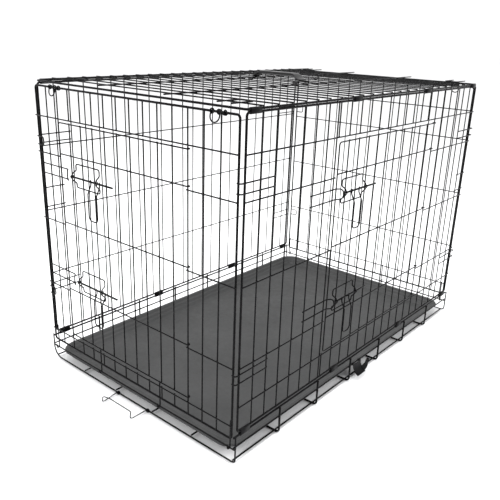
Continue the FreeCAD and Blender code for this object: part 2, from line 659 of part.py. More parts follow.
def bolt_set(prefix, panel, stile, side, eyes, legs, tongue_at, rod_ends, tip):
    """Guides on the door, keepers on the panel and one sliding bolt at each height.

    Distances are measured from the latch stile into the door; side is +1 or -1 along the panel.
    """
    stile_at = num(stile)
    bar_size = num(BAR)

    def at(distance, outward, height):
        return point(panel(repr(stile_at + side * distance), "(%r)" % outward, repr(height)))

    guides = []
    keepers = []
    behind = num(DOOR_UPRIGHT) - 2 * bar_size
    rod_out = num(BOLT)
    keep_out = num(KEEPER)
    tongue_out = num(TONGUE)
    grip_out = tongue_out + 8.0
    tip_out = rod_out + num("Sizes.bolt_radius + Sizes.gap + 0.15") + bar_size
    for tag, level in (("upper", num("Sizes.bolt_high")), ("lower", num("Sizes.bolt_low"))):
        for sign, peak, name in ((1, 26.0, "top"), (-1, 22.0, "under")):
            path = [at(eyes[0], rod_out, level + sign * 4.5), at(eyes[0], rod_out, level + sign * 6.5),
                    at(legs[0], behind, level + sign * 12.5), at(legs[0], behind, level + sign * peak),
                    at(legs[1], behind, level + sign * peak), at(legs[1], behind, level + sign * 12.5),
                    at(eyes[1], rod_out, level + sign * 6.5), at(eyes[1], rod_out, level + sign * 4.5)]
            guides.append(bent("%s_%s_%s" % (prefix, tag, name), rounded_path(path, 2.5), BAR, split=True))
        for number, eye in enumerate(eyes):
            centre = at(eye, rod_out, level)
            axis = (at(eye + 1, rod_out, level) - centre).normalize()
            feature = doc.addObject("Part::Feature", "%s_%s_eye_%d" % (prefix, tag, number))
            feature.Shape = ring(centre, axis, 3.3, 1.0)
            guides.append(feature)
        top = level + 10.5
        low = level - 10.5
        path = [at(-76, keep_out, top), at(tip - 13, keep_out, top), at(tip, tip_out, top),
                at(tip, tip_out, low), at(tip - 13, keep_out, low), at(-76, keep_out, low)]
        keepers.append(bent("%s_%s_keeper" % (prefix, tag), rounded_path(path, 8.5), BAR, split=True))
        rod_start = at(rod_ends[0], rod_out, level)
        rod_stop = at(rod_ends[1], rod_out, level)
        run = (rod_stop - rod_start).Length
        rod = doc.addObject("Part::Feature", "%s_%s_rod" % (prefix, tag))
        rod.Shape = Part.makeCylinder(num("Sizes.bolt_radius"), run, rod_start, rod_stop - rod_start)
        path = []
        for leg, heights in ((tongue_at[0], (5.5, -5.0, -21.0, -75.0)), (tongue_at[1], (-75.0, -21.0, -5.0, 5.5))):
            for height in heights:
                outward = tongue_out if height > -10.0 else grip_out
                path.append(at(leg, outward, level + height))
        tongue = bent("%s_%s_tongue" % (prefix, tag), rounded_path(path, 9.0), BAR, split=True)
        group("%s_bolt_%s" % (prefix, tag), [rod, tongue])
    group(prefix + "_door_guides", guides)
    return keepers


first_bay = num(side_bar(8)) - num("Sizes.front_free")
front_eyes = (first_bay - 2.6, first_bay + 2 * num(SIDE_PITCH) - 2.6)
front_keepers = bolt_set("front", near, "Sizes.front_free", 1, front_eyes, (29.2, 106.3), (52.0, 79.0),
                         (26.0, 150.0), 20.5)
group("near_side_keepers", front_keepers)
left_eyes = (38.5, 118.0)
left_keepers = bolt_set("left", left, "Sizes.left_free", -1, left_eyes, (44.2, 120.0), (105.0, 132.5),
                        (33.6, 168.0), 28.0)
group("left_end_keepers", left_keepers)


# ---------------------------------------------------------------- end panels
end_near = "Sizes.end_inset"
end_far = "(Sizes.width - Sizes.end_inset)"
end_row_start = "(Sizes.end_inset - Sizes.rail_radius)"
end_row_stop = "(Sizes.width - Sizes.end_inset + Sizes.rail_radius)"
end_low_stop = "Sizes.end_low + Sizes.rail_radius"
end_top_stop = "Sizes.end_top - Sizes.rail_radius"


def end_panel(prefix, panel, full_bars, stub_bars):
    corners = [panel(end_near, "0", "Sizes.end_low"), panel(end_far, "0", "Sizes.end_low"),
               panel(end_far, "0", "Sizes.end_top"), panel(end_near, "0", "Sizes.end_top")]
    group(prefix + "_frame", [frame_loop(prefix + "_loop", corners)])
    whole = [end_bar(i) for i in full_bars]
    group(prefix + "_uprights", uprights(prefix + "_up", panel, whole, end_low_stop, end_top_stop))
    if stub_bars:
        short = [end_bar(i) for i in stub_bars]
        stubs = uprights(prefix + "_over", panel, short, "Sizes.lintel - Sizes.bar_radius", end_top_stop)
        stubs += uprights(prefix + "_under", panel, short, end_low_stop, "Sizes.end_sill + Sizes.bar_radius")
        group(prefix + "_stubs", stubs)
    wires = rows(prefix + "_full", panel, "y", ["Sizes.lintel", "Sizes.end_sill"], end_row_start, end_row_stop)
    if stub_bars:
        jamb = end_bar(stub_bars[-1] + 1)
        wires += rows(prefix + "_a", panel, "y", panel_rows, end_row_start, "%s + Sizes.bar_radius" % left_hinge)
        wires += rows(prefix + "_b", panel, "y", panel_rows, "%s - Sizes.bar_radius" % jamb, end_row_stop)
    else:
        wires += rows(prefix + "_row", panel, "y", panel_rows, end_row_start, end_row_stop)
    group(prefix + "_rows", wires)
    loops = []
    reach = num(ROW)
    pivot = num("Sizes.end_pivot")
    for number, along in enumerate((17.0, 208.0, 400.0, 563.0)):
        top = point(panel(repr(along), "(%r)" % -reach, "88"))
        low = point(panel(repr(along), "(%r)" % -reach, repr(pivot)))
        centre = point(panel(repr(along), "0", repr(pivot)))
        axis = (low - centre).cross(V(0, 0, -1))
        hook = curl(low, centre, axis, 180.0)
        back = point(panel(repr(along), "(%r)" % reach, repr(pivot)))
        tip = Part.LineSegment(back, back + V(0, 0, 6)).toShape()
        edges = [Part.LineSegment(top, low).toShape(), hook, tip]
        loops.append(bent("%s_loop_%d" % (prefix, number), edges, BAR))
    group(prefix + "_hinge_loops", loops)
    tips = []
    for high, low in ((529.0, 512.0), (188.0, 171.0)):
        path = [point(panel("570.4", ROW, high)), point(panel("549", ROW, high)),
                point(panel("549", ROW, low)), point(panel("570.4", ROW, low))]
        tips.append(bent("%s_corner_%d" % (prefix, high), rounded_path(path, 4.0), BAR, split=True))
    group(prefix + "_corner_loops", tips)


end_panel("left_end", left, (1, 2, 3, 13, 14), tuple(range(4, 13)))
end_panel("right_end", right, tuple(range(1, 15)), ())

latch_ring = num("Sizes.rail_radius + Sizes.gap + Sizes.latch_radius")
latch_wire = num("Sizes.latch_radius")
end_top = num("Sizes.end_top")
lean = math.radians(12.0)


def top_latch(name, panel, coil, first, last):
    """Ring hanging from the end's top rail between two coils, linked to a third small coil."""

    def at(along, outward, drop):
        return point(panel(repr(along), "(%r)" % outward, repr(end_top - drop)))

    def hang(along, reach):
        return at(along, reach * math.sin(lean), reach * math.cos(lean))

    reach = (last - first) / 2
    middle = (first + last) / 2
    edges = [Part.LineSegment(hang(first, latch_ring), hang(first, 7.0)).toShape(),
             Part.Arc(hang(first, 7.0), hang(middle, 7.0 + reach), hang(last, 7.0)).toShape(),
             Part.LineSegment(hang(last, 7.0), hang(last, latch_ring)).toShape()]
    shape = sweep(edges, latch_wire)
    pitch = 2 * latch_wire
    for along in (coil, coil + pitch, first, first + pitch, last - pitch, last):
        shape = shape.fuse(ring(at(along, 0, 0), V(0, 1, 0), latch_ring, latch_wire))
    link = Part.makeCylinder(latch_wire, first - coil - pitch, at(coil + pitch, latch_ring, 0), V(0, 1, 0))
    feature = doc.addObject("Part::Feature", name)
    feature.Shape = shape.fuse(link)
    feature.Label = name
    NODES.append(feature)


for prefix, panel in (("left_end", left), ("right_end", right)):
    top_latch(prefix + "_latch_near", panel, 41.0, 52.0, 72.0)
    top_latch(prefix + "_latch_far", panel, 486.0, 498.0, 518.0)

doc.recompute()

for obj in doc.Objects:
    if "Invalid" in obj.State or "Error" in obj.State:
        raise RuntimeError("%s failed: %s" % (obj.Name, obj.State))
for node in NODES:
    if node.Shape.isNull() or not node.Shape.isValid():
        raise RuntimeError("%s has no valid shape" % node.Label)
    if node.Shape.Volume <= 0 or not node.Shape.Solids:
        raise RuntimeError("%s holds no solid" % node.Label)

os.makedirs("parts", exist_ok=True)
for node in NODES:
    node.Shape.exportStep("parts/%s.step" % node.Label)
print("%d nodes, %d solids" % (len(NODES), sum(len(node.Shape.Solids) for node in NODES)))
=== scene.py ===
import json
import math
import random

import bmesh
import bpy
from mathutils import Matrix, Quaternion, Vector

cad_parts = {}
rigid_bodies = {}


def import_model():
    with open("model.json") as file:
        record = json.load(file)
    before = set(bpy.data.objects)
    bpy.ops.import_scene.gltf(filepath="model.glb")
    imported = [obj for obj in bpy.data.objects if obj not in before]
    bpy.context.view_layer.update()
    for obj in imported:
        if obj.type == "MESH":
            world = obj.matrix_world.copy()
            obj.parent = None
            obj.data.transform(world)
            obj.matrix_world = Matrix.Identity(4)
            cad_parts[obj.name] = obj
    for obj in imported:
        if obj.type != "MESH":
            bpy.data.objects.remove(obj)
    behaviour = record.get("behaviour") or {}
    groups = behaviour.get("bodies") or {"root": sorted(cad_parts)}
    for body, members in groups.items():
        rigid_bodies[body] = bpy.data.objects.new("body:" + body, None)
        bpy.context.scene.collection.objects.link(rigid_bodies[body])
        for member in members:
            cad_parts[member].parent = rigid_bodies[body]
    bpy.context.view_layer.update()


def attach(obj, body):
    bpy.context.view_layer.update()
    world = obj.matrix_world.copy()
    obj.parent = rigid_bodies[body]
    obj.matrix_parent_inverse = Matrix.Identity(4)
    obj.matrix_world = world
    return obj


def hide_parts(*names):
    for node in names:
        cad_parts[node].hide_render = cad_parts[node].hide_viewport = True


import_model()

# ------------------------------------------------------------------ sizes, millimetres
# Lengths run from the left end, the near side and the ground.
LENGTH = 914.0
WIDTH = 580.0
BAR = 1.35
BORDER = 1.35
GUIDE = 1.35
WELD_HEIGHT = 1.1
RAIL = 2.1
HINGE = 1.6
LONG = 1.7
SIDE_INSET = 4.8
POST = 8.0
MESH_INSET = 8.0
END_INSET = 11.0
SIDE_LOW, SIDE_TOP = 66.0, 636.0
END_LOW, END_TOP, END_PIVOT = 53.0, 632.5, 32.5
ROOF = 640.5
LINTEL = 572.5
PANEL_ROWS = (497.0, 352.0, 199.0)
FAR_ROWS = (505.0, 362.0, 213.0)
PITCH = (LENGTH - 2 * MESH_INSET) / 24
END_PITCH = (WIDTH - 2 * END_INSET) / 15
BOLT_LEVELS = {"upper": 462.0, "lower": 231.0}

UPRIGHT = RAIL - BAR
ROW = RAIL + BAR
DOOR_ROW = ROW + 0.3
DOOR_UPRIGHT = UPRIGHT + 0.3
DOOR_BORDER = RAIL + 0.3 + BORDER
KEEPER = RAIL - 3 * BAR
BEHIND = DOOR_UPRIGHT - BAR - GUIDE
BOLT_OUT = RAIL + 0.6 + 2.0
TONGUE_OUT = BOLT_OUT + 2.0 + BAR
GRIP_OUT = TONGUE_OUT + 8.0


def side_bar(index):
    return MESH_INSET + index * PITCH


def end_bar(index):
    return END_INSET + index * END_PITCH


def local(x, y, z):
    return Vector((x - LENGTH / 2, y - WIDTH / 2, z))


# A panel maps (along, outward, height) to a point.
def near(s, u, z):
    return local(s, SIDE_INSET - u, z)


def far(s, u, z):
    return local(s, WIDTH - SIDE_INSET + u, z)


def left(s, u, z):
    return local(-u, s, z)


def right(s, u, z):
    return local(LENGTH + u, s, z)


# ------------------------------------------------------------------ wire mesh builder
def rounded(points, bend, closed=False, steps=7):
    """Path through the points with each corner turned on an arc."""
    count = len(points)
    path = []
    for i, corner in enumerate(points):
        if not closed and i in (0, count - 1):
            path.append(corner.copy())
            continue
        back = (points[i - 1] - corner).normalized()
        ahead = (points[(i + 1) % count] - corner).normalized()
        half = back.angle(ahead) / 2
        if half > 1.56:
            path.append(corner.copy())
            continue
        reach = bend / math.tan(half)
        start = corner + back * reach
        centre = corner + (back + ahead).normalized() * (bend / math.sin(half))
        axis = back.cross(ahead).normalized()
        sweep = -(math.pi - 2 * half)
        for k in range(steps + 1):
            turn = Quaternion(axis, sweep * k / steps)
            path.append(centre + turn @ (start - centre))
    return path


def arc(start, centre, axis, degrees, steps=12):
    """Points after start on a turn about an axis through centre."""
    arm = start - centre
    return [centre + Quaternion(axis, math.radians(degrees * k / steps)) @ arm for k in range(1, steps + 1)]


def coil(centre, axis, start, turns, pitch, steps=18):
    """Helix of start turned about axis through centre, moving along the axis."""
    count = max(2, int(abs(turns) * steps))
    path = []
    for k in range(count + 1):
        share = k / count
        turn = Quaternion(axis, 2 * math.pi * turns * share)
        path.append(centre + turn @ (start - centre) + axis * (pitch * abs(turns) * share))
    return path


class Wires:
    """Round wires and weld spots collected into one mesh object."""

    def __init__(self, name, sides=12):
        self.name = name
        self.sides = sides
        self.verts = []
        self.faces = []
        self.random = random.Random(name)

    def ring(self, centre, tangent, normal, radius):
        first = len(self.verts)
        side = tangent.cross(normal)
        for k in range(self.sides):
            angle = 2 * math.pi * k / self.sides
            self.verts.append(centre + (normal * math.cos(angle) + side * math.sin(angle)) * radius)
        return first

    def join(self, a, b):
        n = self.sides
        for k in range(n):
            self.faces.append((a + k, a + (k + 1) % n, b + (k + 1) % n, b + k))

    def run(self, path, radius, closed=False):
        """Tube of one radius along a path, with softened cut ends."""
        count = len(path)
        tangents = []
        for i in range(count):
            if closed:
                step = path[(i + 1) % count] - path[i - 1]
            else:
                step = path[min(i + 1, count - 1)] - path[max(i - 1, 0)]
            tangents.append(step.normalized())
        normal = tangents[0].orthogonal().normalized()
        rings = []
        if not closed:
            soft = radius * 0.35
            lead = tangents[0] * soft
            rings.append(self.ring(path[0], tangents[0], normal, radius * 0.62))
            rings.append(self.ring(path[0] + lead * 0.3, tangents[0], normal, radius * 0.9))
            path = [path[0] + lead] + list(path[1:])
        for i in range(count):
            if i:
                normal = tangents[i - 1].rotation_difference(tangents[i]) @ normal
            point = path[i]
            if not closed and i == count - 1:
                point = path[i] - tangents[i] * radius * 0.35
            rings.append(self.ring(point, tangents[i], normal, radius))
        if not closed:
            tip = path[-1]
            rings.append(self.ring(tip - tangents[-1] * radius * 0.1, tangents[-1], normal, radius * 0.9))
            rings.append(self.ring(tip, tangents[-1], normal, radius * 0.62))
        for a, b in zip(rings, rings[1:]):
            self.join(a, b)
        if closed:
            self.close(rings[-1], rings[0])
        else:
            self.faces.append(tuple(reversed(range(rings[0], rings[0] + self.sides))))
            self.faces.append(tuple(range(rings[-1], rings[-1] + self.sides)))

    def close(self, last, first):
        """Join the last ring to the first at the turn that matches best."""
        n = self.sides
        shift = min(range(n), key=lambda k: (self.verts[last] - self.verts[first + k]).length)
        for k in range(n):
            a, b = last + k, last + (k + 1) % n
            c, d = first + (k + 1 + shift) % n, first + (k + shift) % n
            self.faces.append((a, b, c, d))

    def straight(self, start, stop, radius=BAR, bow=0.16):
        """Straight wire with the slight bow that drawn wire keeps."""
        along = stop - start
        side = along.orthogonal().normalized()
        other = along.normalized().cross(side)
        lean = self.random.uniform(0, 2 * math.pi)
        size = bow * self.random.uniform(0.3, 1.0)
        path = []
        steps = 6
        for k in range(steps + 1):
            t = k / steps
            off = math.sin(math.pi * t) * size
            path.append(start + along * t + (side * math.cos(lean) + other * math.sin(lean)) * off)
        self.run(path, radius)

    def bent(self, points, bend, radius=BAR, closed=False):
        self.run(rounded(points, bend, closed), radius, closed)

    def weld(self, centre, first, second, reach=1.9):
        """Flattened weld spot between two crossing wires."""
        x = first.normalized()
        y = (second - x * second.dot(x)).normalized()
        z = x.cross(y)
        base = len(self.verts)
        rows, cols = 4, 8
        wide = reach * self.random.uniform(0.85, 1.15)
        for r in range(rows + 1):
            lat = math.pi * r / rows
            for c in range(cols):
                lon = 2 * math.pi * c / cols
                flat = math.sin(lat) * wide
                around = x * flat * math.cos(lon) + y * flat * math.sin(lon)
                self.verts.append(centre + around + z * math.cos(lat) * WELD_HEIGHT)
        for r in range(rows):
            for c in range(cols):
                a = base + r * cols + c
                b = base + r * cols + (c + 1) % cols
                self.faces.append((a, b, b + cols, a + cols))

    def finish(self, body, nodes, material):
        mesh = bpy.data.meshes.new(self.name)
        mesh.from_pydata([v * 0.001 for v in self.verts], [], self.faces)
        mesh.validate()
        clean(mesh)
        return place(self.name, mesh, body, nodes, material)


def clean(mesh):
    """Merge doubled points, make the normals agree and shade smooth."""
    bm = bmesh.new()
    bm.from_mesh(mesh)
    bmesh.ops.remove_doubles(bm, verts=bm.verts, dist=1e-7)
    bmesh.ops.dissolve_degenerate(bm, edges=bm.edges, dist=1e-7)
    bmesh.ops.recalc_face_normals(bm, faces=bm.faces)
    bm.to_mesh(mesh)
    bm.free()
    for face in mesh.polygons:
        face.use_smooth = len(face.vertices) <= 4


def place(name, mesh, body, nodes, material):
    piece = bpy.data.objects.new(name, mesh)
    bpy.context.scene.collection.objects.link(piece)
    mesh.materials.append(material)
    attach(piece, body)
    if nodes:
        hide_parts(*nodes)
    return piece


# ------------------------------------------------------------------ materials
def principled(name):
    material = bpy.data.materials.new(name)
    material.use_nodes = True
    tree = material.node_tree
    return material, tree, tree.nodes["Principled BSDF"]


def noise(tree, scale, detail=3.0, rough=0.55):
    coords = tree.nodes.new("ShaderNodeTexCoord")
    node = tree.nodes.new("ShaderNodeTexNoise")
    node.inputs["Scale"].default_value = scale
    node.inputs["Detail"].default_value = detail
    node.inputs["Roughness"].default_value = rough
    tree.links.new(coords.outputs["Object"], node.inputs["Vector"])
    return node


def ramp(tree, source, low, high, start=0.3, stop=0.7):
    node = tree.nodes.new("ShaderNodeMapRange")
    node.inputs["From Min"].default_value = start
    node.inputs["From Max"].default_value = stop
    node.inputs["To Min"].default_value = low
    node.inputs["To Max"].default_value = high
    tree.links.new(source, node.inputs["Value"])
    return node.outputs["Result"]


def colours(tree, source, first, second, start=0.35, stop=0.65):
    node = tree.nodes.new("ShaderNodeValToRGB")
    node.color_ramp.elements[0].position = start
    node.color_ramp.elements[0].color = (*first, 1.0)
    node.color_ramp.elements[1].position = stop
    node.color_ramp.elements[1].color = (*second, 1.0)
    tree.links.new(source, node.inputs["Fac"])
    return node.outputs["Color"]


def bump(tree, source, strength, distance, normal=None):
    node = tree.nodes.new("ShaderNodeBump")
    node.inputs["Strength"].default_value = strength
    node.inputs["Distance"].default_value = distance
    tree.links.new(source, node.inputs["Height"])
    if normal is not None:
        tree.links.new(normal, node.inputs["Normal"])
    return node.outputs["Normal"]


def coat_material(name, dark, light, rough_low, rough_high, grain):
    """Black dipped coat: faint colour drift, roughness patches and a fine orange peel."""
    material, tree, shader = principled(name)
    drift = noise(tree, 38.0, 4.0)
    patches = noise(tree, 140.0, 5.0)
    peel = noise(tree, grain, 2.0)
    tree.links.new(colours(tree, drift.outputs["Fac"], dark, light), shader.inputs["Base Color"])
    tree.links.new(ramp(tree, patches.outputs["Fac"], rough_low, rough_high), shader.inputs["Roughness"])
    tree.links.new(bump(tree, peel.outputs["Fac"], 0.35, 0.00012), shader.inputs["Normal"])
    shader.inputs["Specular IOR Level"].default_value = 0.06
    return material


def plastic_material(name, dark, light, rough_low, rough_high, grain, depth):
    """Moulded plastic: fine spark-eroded grain, soft blotches and thin rubbed streaks."""
    material, tree, shader = principled(name)
    blotch = noise(tree, 7.0, 5.0, 0.6)
    rub = noise(tree, 55.0, 6.0, 0.7)
    texture = noise(tree, grain, 2.0, 0.5)
    fine = noise(tree, grain * 3.1, 2.0, 0.5)
    tree.links.new(colours(tree, blotch.outputs["Fac"], dark, light), shader.inputs["Base Color"])
    tree.links.new(ramp(tree, rub.outputs["Fac"], rough_low, rough_high), shader.inputs["Roughness"])
    coarse = bump(tree, texture.outputs["Fac"], 0.5, depth)
    tree.links.new(bump(tree, fine.outputs["Fac"], 0.4, depth * 0.4, coarse), shader.inputs["Normal"])
    shader.inputs["Specular IOR Level"].default_value = 0.3
    return material


wire_coat = coat_material("wire_coat", (0.0012, 0.0012, 0.0014), (0.0035, 0.0035, 0.004), 0.2, 0.4, 1500.0)
rail_coat = coat_material("rail_coat", (0.0014, 0.0014, 0.0016), (0.004, 0.004, 0.0045), 0.18, 0.36, 1200.0)
clip_coat = coat_material("clip_coat", (0.0025, 0.0025, 0.0028), (0.007, 0.007, 0.0075), 0.26, 0.46, 900.0)
pan_plastic = plastic_material("pan_plastic", (0.024, 0.0245, 0.0248), (0.034, 0.0345, 0.0348),
                               0.42, 0.6, 900.0, 0.00012)
handle_plastic = plastic_material("handle_plastic", (0.0022, 0.0022, 0.0025), (0.006, 0.006, 0.0065),
                                  0.22, 0.4, 1100.0, 0.00008)

X, Y, Z = Vector((1, 0, 0)), Vector((0, 1, 0)), Vector((0, 0, 1))

# ------------------------------------------------------------------ floor basket
cross_at = [130.6 * i + (LENGTH - 7 * 130.6) / 2 for i in range(1, 7)]
side_out = SIDE_INSET - 2 * RAIL
end_out = SIDE_INSET - RAIL - HINGE
basket_top, basket_mid = 58.0, 37.0
top_of_basket = basket_top + RAIL

wires = Wires("floor_crossings", 14)
for x in cross_at:
    path = [local(x, side_out, top_of_basket), local(x, side_out, RAIL),
            local(x, WIDTH - side_out, RAIL), local(x, WIDTH - side_out, top_of_basket)]
    wires.bent(path, 8.0, RAIL)
for x in (0.0, LENGTH):
    tight = rounded([local(x, end_out, top_of_basket), local(x, end_out, 4.1),
                     local(x, WIDTH / 2, 4.1)], 8.0)
    wide = rounded([local(x, WIDTH / 2, 4.1), local(x, WIDTH - end_out, 4.1),
                    local(x, WIDTH - end_out, top_of_basket)], 26.0, steps=12)
    wires.run(tight + wide[1:], HINGE)
long_at = (8.6, 117.0, 231.0, 349.0, 463.0, 571.4)
for x in cross_at:
    for y in long_at:
        wires.weld(local(x, y, 2 * RAIL), X, Y, 2.2)
    for y in (SIDE_INSET - RAIL, WIDTH - SIDE_INSET + RAIL):
        wires.weld(local(x, y, basket_top), X, Z, 2.2)
        wires.weld(local(x, y, basket_mid), X, Z, 2.0)
wires.finish("floor", ["floor_cross_wires", "floor_end_wires", "floor_side_feet"], rail_coat)

wires = Wires("floor_lengthwise", 14)
for y in long_at:
    wires.straight(local(HINGE + 0.3, y, 2 * RAIL + LONG),
                   local(LENGTH - HINGE - 0.3, y, 2 * RAIL + LONG), LONG, 0.2)
wires.finish("floor", ["floor_long_wires"], wire_coat)

wires = Wires("basket_rails", 14)
mid_inset = SIDE_INSET - RAIL + LONG
for flip in (False, True):
    for inset, z, radius in ((SIDE_INSET, basket_top, RAIL), (mid_inset, basket_mid, LONG)):
        y = WIDTH - inset if flip else inset
        wires.straight(local(-HINGE, y, z), local(LENGTH + HINGE, y, z), radius, 0.1)
wires.finish("floor", ["floor_top_rails", "floor_mid_rails"], rail_coat)

wires = Wires("end_hinge_bars", 14)
for x in (0.0, LENGTH):
    inset = end_out + HINGE
    wires.straight(local(x, inset, END_PIVOT), local(x, WIDTH - inset, END_PIVOT), HINGE, 0.05)
wires.finish("floor", ["floor_hinge_wires"], rail_coat)


# ------------------------------------------------------------------ hinge clips
def clip_mesh(name, places, low, rise):
    """Folded sheet clips, each an open-ended slot section with thinned edges."""
    verts = []
    faces = []
    inner, sheet, wide = RAIL + 0.3, 0.8, 26.0
    for x, y in places:
        rings = []
        slices = ((-wide / 2, 0.0), (-wide / 2 + 0.25, 0.25), (wide / 2 - 0.25, 0.25), (wide / 2, 0.0))
        for along, swell in slices:
            row = []
            for radius in (inner + 0.25 - swell, inner + sheet - 0.25 + swell):
                loop = []
                for k in range(28):
                    angle = 2 * math.pi * k / 28
                    lift = rise if math.sin(angle) > 1e-6 or (k == 0) else 0.0
                    loop.append(len(verts))
                    height = low + lift + radius * math.sin(angle)
                    verts.append(local(x + along, y + radius * math.cos(angle), height))
                row.append(loop)
            rings.append(row)
        for (a_in, a_out), (b_in, b_out) in zip(rings, rings[1:]):
            for k in range(28):
                m = (k + 1) % 28
                faces.append((a_out[k], a_out[m], b_out[m], b_out[k]))
                faces.append((a_in[m], a_in[k], b_in[k], b_in[m]))
        for row, flip in ((rings[0], False), (rings[-1], True)):
            for k in range(28):
                m = (k + 1) % 28
                quad = (row[0][k], row[0][m], row[1][m], row[1][k])
                faces.append(tuple(reversed(quad)) if flip else quad)
    mesh = bpy.data.meshes.new(name)
    mesh.from_pydata([v * 0.001 for v in verts], [], faces)
    clean(mesh)
    return mesh


clip_places = []
for x in (28.0, side_bar(8.5), side_bar(16.5), LENGTH - 28.0):
    for y in (SIDE_INSET, WIDTH - SIDE_INSET):
        clip_places.append((x, y))
place("floor_hinge_clips", clip_mesh("floor_hinge_clips", clip_places, basket_top, SIDE_LOW - basket_top),
      "floor", ["floor_clips"], clip_coat)
place("roof_hinge_clips", clip_mesh("roof_hinge_clips", clip_places, SIDE_TOP, ROOF - SIDE_TOP),
      "roof", ["roof_clips"], clip_coat)


# ------------------------------------------------------------------ side panels
def side_frame(name, panel, body, node):
    corners = [panel(POST, 0, SIDE_LOW), panel(LENGTH - POST, 0, SIDE_LOW),
               panel(LENGTH - POST, 0, SIDE_TOP), panel(POST, 0, SIDE_TOP)]
    wires = Wires(name, 16)
    wires.bent(corners, 6.0, RAIL, closed=True)
    wires.finish(body, [node], rail_coat)


side_frame("far_frame_wire", far, "far_side", "far_side_frame")
side_frame("near_frame_wire", near, "near_side", "near_side_frame")


def verticals(wires, panel, places, low, high, out=UPRIGHT):
    for s in places:
        wires.straight(panel(s, out, low), panel(s, out, high))


def levels(wires, panel, heights, start, stop, crossings, out=ROW, along=X):
    """Horizontal wires with a weld spot at each upright they cross."""
    for z in heights:
        wires.straight(panel(start, out, z), panel(stop, out, z))
        for s in crossings:
            if min(start, stop) < s < max(start, stop):
                wires.weld(panel(s, out - BAR, z), along, Z)


low_stop, top_stop = SIDE_LOW + RAIL * 0.6, SIDE_TOP - RAIL * 0.6
row_start, row_stop = POST - RAIL, LENGTH - POST + RAIL
all_side = [side_bar(i) for i in range(1, 24)]

wires = Wires("far_mesh_uprights")
verticals(wires, far, all_side, low_stop, top_stop)
wires.finish("far_side", ["far_side_uprights"], wire_coat)
wires = Wires("far_mesh_rows")
levels(wires, far, FAR_ROWS, row_start, row_stop, all_side)
wires.finish("far_side", ["far_side_rows"], wire_coat)
wires = Wires("far_corner_wires")
hook_rows = (529.0, 512.0, 188.0, 171.0)
levels(wires, far, hook_rows, row_start, 82.0, all_side)
levels(wires, far, hook_rows, LENGTH - 82.0, row_stop, all_side)
levels(wires, far, (413.0, 370.0), row_start, 58.0, all_side)
wires.finish("far_side", ["far_side_hook_wires"], wire_coat)

FRONT_JAMB, FRONT_FREE, FRONT_HINGE = 263.0, 269.9, side_bar(18)
whole = [side_bar(i) for i in (1, 2, 3, 4, 5, 6, 18, 19, 20, 21, 22, 23)] + [FRONT_JAMB]
over_door = [side_bar(i) for i in range(7, 18)]
wires = Wires("near_mesh_uprights")
verticals(wires, near, whole, low_stop, top_stop)
wires.finish("near_side", ["near_side_uprights"], wire_coat)
wires = Wires("near_mesh_stubs")
verticals(wires, near, over_door, LINTEL - BAR, top_stop)
verticals(wires, near, over_door, low_stop, 120.5 + BAR)
wires.finish("near_side", ["near_side_stubs"], wire_coat)
wires = Wires("near_mesh_rows")
levels(wires, near, (LINTEL, 120.5), row_start, row_stop, whole + over_door)
levels(wires, near, PANEL_ROWS, row_start, FRONT_JAMB + BAR, whole)
levels(wires, near, PANEL_ROWS, FRONT_HINGE - BAR, row_stop, whole)
levels(wires, near, (413.0, 370.0), LENGTH - 58.0, row_stop, whole)
wires.finish("near_side", ["near_side_rows"], wire_coat)

wires = Wires("near_corner_hooks")
hook_y = SIDE_INSET - ROW
for tip, root in ((-5.0, 82.0), (LENGTH + 5.0, LENGTH - 82.0)):
    for z in hook_rows:
        wires.bent([local(root, hook_y, z), local(tip, hook_y, z), local(tip, 10.0, z)], 4.0)
for s in (side_bar(1), side_bar(2), side_bar(22), side_bar(23)):
    for z in hook_rows:
        wires.weld(near(s, UPRIGHT + BAR, z), X, Z)
wires.finish("near_side", ["near_side_corner_hooks"], wire_coat)

# ------------------------------------------------------------------ roof
wires = Wires("roof_frame_wire", 16)
near_y, far_y = SIDE_INSET, WIDTH - SIDE_INSET
wires.bent([local(MESH_INSET, near_y, ROOF), local(LENGTH - MESH_INSET, near_y, ROOF),
            local(LENGTH - MESH_INSET, far_y, ROOF), local(MESH_INSET, far_y, ROOF)],
           6.0, RAIL, closed=True)
wires.finish("roof", ["roof_frame"], rail_coat)
wires = Wires("roof_mesh_across")
roof_bar_z = ROOF + ROW
roof_long_z = roof_bar_z + 2 * BAR
roof_long_at = (187.0, 367.0, 530.0)
for x in all_side:
    wires.straight(local(x, SIDE_INSET - RAIL, roof_bar_z),
                   local(x, WIDTH - SIDE_INSET + RAIL, roof_bar_z), BAR, 0.3)
    for y in roof_long_at:
        wires.weld(local(x, y, roof_bar_z + BAR), X, Y, 1.3)
wires.finish("roof", ["roof_cross_wires"], wire_coat)
wires = Wires("roof_mesh_lengthwise")
for y in roof_long_at:
    wires.straight(local(MESH_INSET - RAIL, y, roof_long_z),
                   local(LENGTH - MESH_INSET + RAIL, y, roof_long_z))
wires.finish("roof", ["roof_long_wires"], wire_coat)
wires = Wires("roof_keeper_loops")
for edge, back in ((7.0, 60.0), (LENGTH - 7.0, LENGTH - 60.0)):
    for low, high in ((35.0, 66.0), (482.0, 514.0)):
        wires.bent([local(edge, low, roof_long_z), local(back, low, roof_long_z),
                    local(back, high, roof_long_z), local(edge, high, roof_long_z)], 5.0)
wires.finish("roof", ["roof_latch_loops"], wire_coat)


# ------------------------------------------------------------------ doors and slide bolts
def curl_end(panel, hinge, side, z, out):
    """Points that carry a door wire round its hinge upright."""
    start = panel(hinge, out, z)
    centre = panel(hinge, UPRIGHT, z)
    away = panel(hinge + side, out, z) - start
    sense = 1.0 if (start - centre).cross(away).z > 0 else -1.0
    return arc(start, centre, Z * sense, 250.0)


